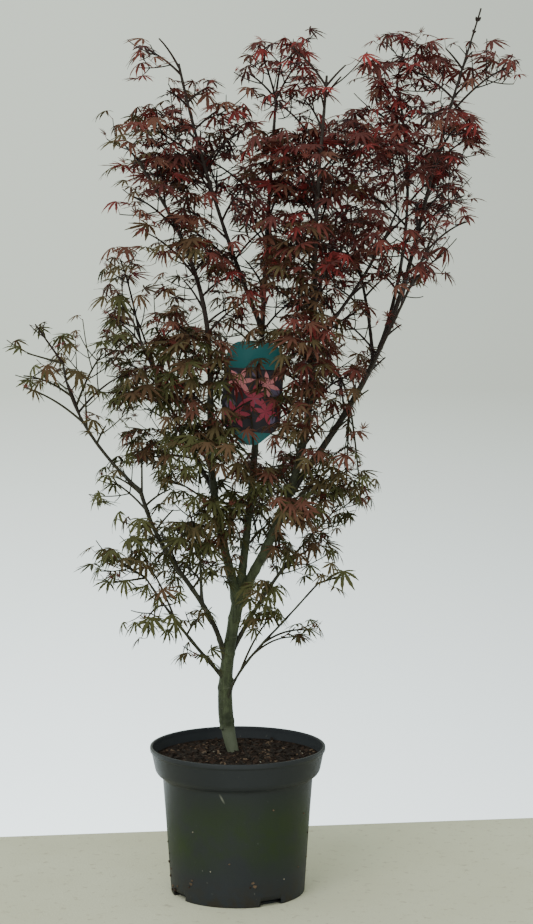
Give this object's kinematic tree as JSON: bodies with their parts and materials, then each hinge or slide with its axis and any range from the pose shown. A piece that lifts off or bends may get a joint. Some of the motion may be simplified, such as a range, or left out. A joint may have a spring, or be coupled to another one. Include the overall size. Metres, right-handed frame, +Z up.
{
  "type": "potted japanese maple",
  "caption": "Young Japanese maple with several slim leaders and layered red and bronze leaves, standing in a black nursery pot.",
  "frame": {"origin": "middle of the pot's flat underside", "axes": "+Z up along the tree, +X to the right of the pictured side, +Y away from it"},
  "size_m": [0.8111, 0.4824, 1.3915],
  "materials": {
    "pot": "matt black plastic, slightly scuffed, with a faint green film low down",
    "compost": "dark compost with bark and chips",
    "bark": "smooth olive grey bark",
    "leaves": "thin satin leaves, dark red above and olive bronze low down",
    "tag": "glossy printed plastic card",
    "thread": "pale thin thread"
  },
  "bodies": {
    "root": {"pot": "pot", "soil": "compost", "trunk": "bark", "left_leader": "bark", "middle_leader": "bark", "right_stem": "bark", "right_leader": "bark", "upper_left_leader": "bark", "left_fork": "bark", "far_left_low": "bark", "far_left_high": "bark", "low_left_upright": "bark", "low_left": "bark", "low_front": "bark", "right_low_bough": "bark", "right_fork": "bark", "right_back": "bark", "back_leader": "bark", "right_front": "bark", "tag": "tag", "tag_thread": "thread", "upper_left_tip": "leaves", "upper_left_right": "leaves", "upper_left_in": "leaves", "left_tip": "leaves", "inner_left": "leaves", "middle_left": "leaves", "left_outer": "leaves", "back_left": "leaves", "far_left": "leaves", "left_upright": "leaves", "left_middle": "leaves", "centre_left_high": "leaves", "centre_left_low": "leaves", "centre_low": "leaves", "left_foot": "leaves", "low_left_high": "leaves", "low_left_foot": "leaves", "middle_top": "leaves", "right_stem_top": "leaves", "back_right_top": "leaves", "right_top": "leaves", "right_top_end": "leaves", "right_outer": "leaves", "right_middle_outer": "leaves", "right_upper": "leaves", "right_middle": "leaves", "right_low_outer": "leaves", "centre_high": "leaves", "centre_right": "leaves", "centre_middle": "leaves", "right_inner": "leaves", "centre_deep": "leaves", "right_deep": "leaves", "right_low": "leaves", "right_foot": "leaves", "low_centre": "leaves", "low_back_right": "leaves", "low_right_end": "leaves", "low_right": "leaves"}
  },
  "joints": []
}
